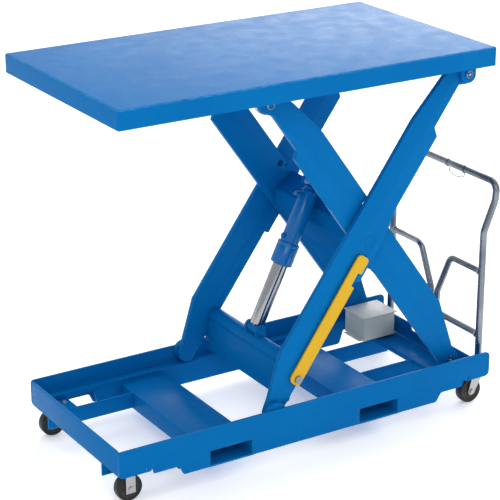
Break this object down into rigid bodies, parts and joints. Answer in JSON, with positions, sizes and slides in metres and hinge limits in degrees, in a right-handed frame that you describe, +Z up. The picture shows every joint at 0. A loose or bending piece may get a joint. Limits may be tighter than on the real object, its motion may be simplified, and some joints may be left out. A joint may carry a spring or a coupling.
{
  "type": "scissor lift table",
  "caption": "Mobile scissor lift table with a flat steel platform, crossed legs, a hydraulic ram, fork pockets, casters and a tow handle.",
  "frame": {"origin": "on the floor under the middle of the overall box", "axes": "+X along the table towards the tow handle, +Y across it away from the maintenance bar, +Z up"},
  "size_m": [1.346, 0.678, 1.16],
  "materials": {
    "blue_paint": "glossy blue enamel over welded steel",
    "zinc_steel": "zinc plated steel",
    "bright_steel": "bright chromed or polished steel",
    "yellow_paint": "satin yellow enamel",
    "box_grey": "satin grey powder coat",
    "lid_grey": "satin light grey powder coat",
    "caster_rubber": "black rubber on a black hub"
  },
  "bodies": {
    "base": {"near_side_plate": "blue_paint", "far_side_plate": "blue_paint", "front_plate": "blue_paint", "rear_plate": "blue_paint", "near_track": "blue_paint", "far_track": "blue_paint", "left_fork_tube": "blue_paint", "right_fork_tube": "blue_paint", "near_caster_pocket": "blue_paint", "far_caster_pocket": "blue_paint", "near_rear_caster_plate": "blue_paint", "far_rear_caster_plate": "blue_paint", "pivot_channel": "blue_paint", "near_foot_bracket": "blue_paint", "far_foot_bracket": "blue_paint", "near_foot_pin": "zinc_steel", "far_foot_pin": "zinc_steel", "control_box": "box_grey", "control_box_lid": "lid_grey", "tow_handle_frame": "bright_steel", "tow_handle_crossbar": "bright_steel", "near_handle_loop": "bright_steel", "far_handle_loop": "bright_steel", "near_rigid_fork": "zinc_steel", "far_rigid_fork": "zinc_steel"},
    "inner_legs": {"near_inner_leg": "blue_paint", "far_inner_leg": "blue_paint", "inner_cross_plate": "blue_paint", "cylinder_top_pin": "zinc_steel", "near_top_roller_axle": "blue_paint", "far_top_roller_axle": "blue_paint"},
    "outer_legs": {"near_outer_leg": "blue_paint", "far_outer_leg": "blue_paint", "near_centre_pin": "blue_paint", "far_centre_pin": "blue_paint", "torque_tube": "blue_paint", "bar_bolt": "bright_steel"},
    "platform": {"deck": "blue_paint", "near_upper_track": "blue_paint", "far_upper_track": "blue_paint", "near_deck_bracket": "blue_paint", "far_deck_bracket": "blue_paint", "near_deck_pin": "blue_paint", "far_deck_pin": "blue_paint"},
    "barrel": {"cylinder_barrel": "blue_paint", "gland_collar": "blue_paint"},
    "rod": {"piston_rod": "bright_steel"},
    "safety_bar": {"maintenance_bar": "yellow_paint"},
    "near_lower_roller": {"near_lower_roller": "blue_paint"},
    "near_top_roller": {"near_top_roller": "zinc_steel"},
    "near_left_wheel": {"near_left_wheel": "caster_rubber"},
    "near_swivel": {"near_swivel_fork": "zinc_steel"},
    "near_right_wheel": {"near_right_wheel": "caster_rubber"},
    "far_lower_roller": {"far_lower_roller": "blue_paint"},
    "far_top_roller": {"far_top_roller": "zinc_steel"},
    "far_left_wheel": {"far_left_wheel": "caster_rubber"},
    "far_swivel": {"far_swivel_fork": "zinc_steel"},
    "far_right_wheel": {"far_right_wheel": "caster_rubber"}
  },
  "joints": [
    {"name": "lift", "type": "hinge", "parent": "base", "child": "inner_legs", "pos_m": [0.505, 0, 0.156], "axis": [0, 1, 0], "range_deg": [-50.9, 0]},
    {"name": "leg_cross", "type": "hinge", "parent": "inner_legs", "child": "outer_legs", "pos_m": [0.17708, 0, 0.6124], "axis": [0, 1, 0], "range_deg": [0, 101.81]},
    {"name": "deck_pivot", "type": "hinge", "parent": "outer_legs", "child": "platform", "pos_m": [0.505, 0, 1.0688], "axis": [0, 1, 0], "range_deg": [-50.9, 0]},
    {"name": "barrel_pivot", "type": "hinge", "parent": "inner_legs", "child": "barrel", "pos_m": [0.14944, 0, 0.72799], "axis": [0, 1, 0], "range_deg": [0, 101.78]},
    {"name": "rod_slide", "type": "slide", "parent": "barrel", "child": "rod", "axis": [-0.4322, 0, -0.9018], "range_m": [-0.18448, 0]},
    {"name": "safety_bar_swing", "type": "hinge", "parent": "outer_legs", "child": "safety_bar", "pos_m": [-0.07394, -0.263, 0.24297], "axis": [0, -1, 0], "range_deg": [0, 135]},
    {"name": "near_lower_roller_spin", "type": "hinge", "parent": "outer_legs", "child": "near_lower_roller", "pos_m": [-0.15084, -0.2645, 0.156], "axis": [0, 1, 0], "continuous": true},
    {"name": "near_top_roller_spin", "type": "hinge", "parent": "inner_legs", "child": "near_top_roller", "pos_m": [-0.15084, -0.2055, 1.0688], "axis": [0, 1, 0], "continuous": true},
    {"name": "near_left_wheel_roll", "type": "hinge", "parent": "base", "child": "near_left_wheel", "pos_m": [-0.6221, -0.239, 0.04], "axis": [0, 1, 0], "continuous": true},
    {"name": "near_swivel_turn", "type": "hinge", "parent": "base", "child": "near_swivel", "pos_m": [0.5997, -0.239, 0.0897], "axis": [0, 0, 1], "continuous": true},
    {"name": "near_right_wheel_roll", "type": "hinge", "parent": "near_swivel", "child": "near_right_wheel", "pos_m": [0.5777, -0.239, 0.04], "axis": [0, 1, 0], "continuous": true},
    {"name": "far_lower_roller_spin", "type": "hinge", "parent": "outer_legs", "child": "far_lower_roller", "pos_m": [-0.15084, 0.2645, 0.156], "axis": [0, 1, 0], "continuous": true},
    {"name": "far_top_roller_spin", "type": "hinge", "parent": "inner_legs", "child": "far_top_roller", "pos_m": [-0.15084, 0.2055, 1.0688], "axis": [0, 1, 0], "continuous": true},
    {"name": "far_left_wheel_roll", "type": "hinge", "parent": "base", "child": "far_left_wheel", "pos_m": [-0.6221, 0.239, 0.04], "axis": [0, 1, 0], "continuous": true},
    {"name": "far_swivel_turn", "type": "hinge", "parent": "base", "child": "far_swivel", "pos_m": [0.5997, 0.239, 0.0897], "axis": [0, 0, 1], "continuous": true},
    {"name": "far_right_wheel_roll", "type": "hinge", "parent": "far_swivel", "child": "far_right_wheel", "pos_m": [0.5777, 0.239, 0.04], "axis": [0, 1, 0], "continuous": true}
  ],
  "couplings": [
    {"joint": "leg_cross", "follows": "lift", "ratio": -2},
    {"joint": "deck_pivot", "follows": "lift", "ratio": 1},
    {"joint": "barrel_pivot", "follows": "lift", "ratio": -1.9994},
    {"joint": "rod_slide", "follows": "lift", "m_per_rad": 0.20764}
  ]
}
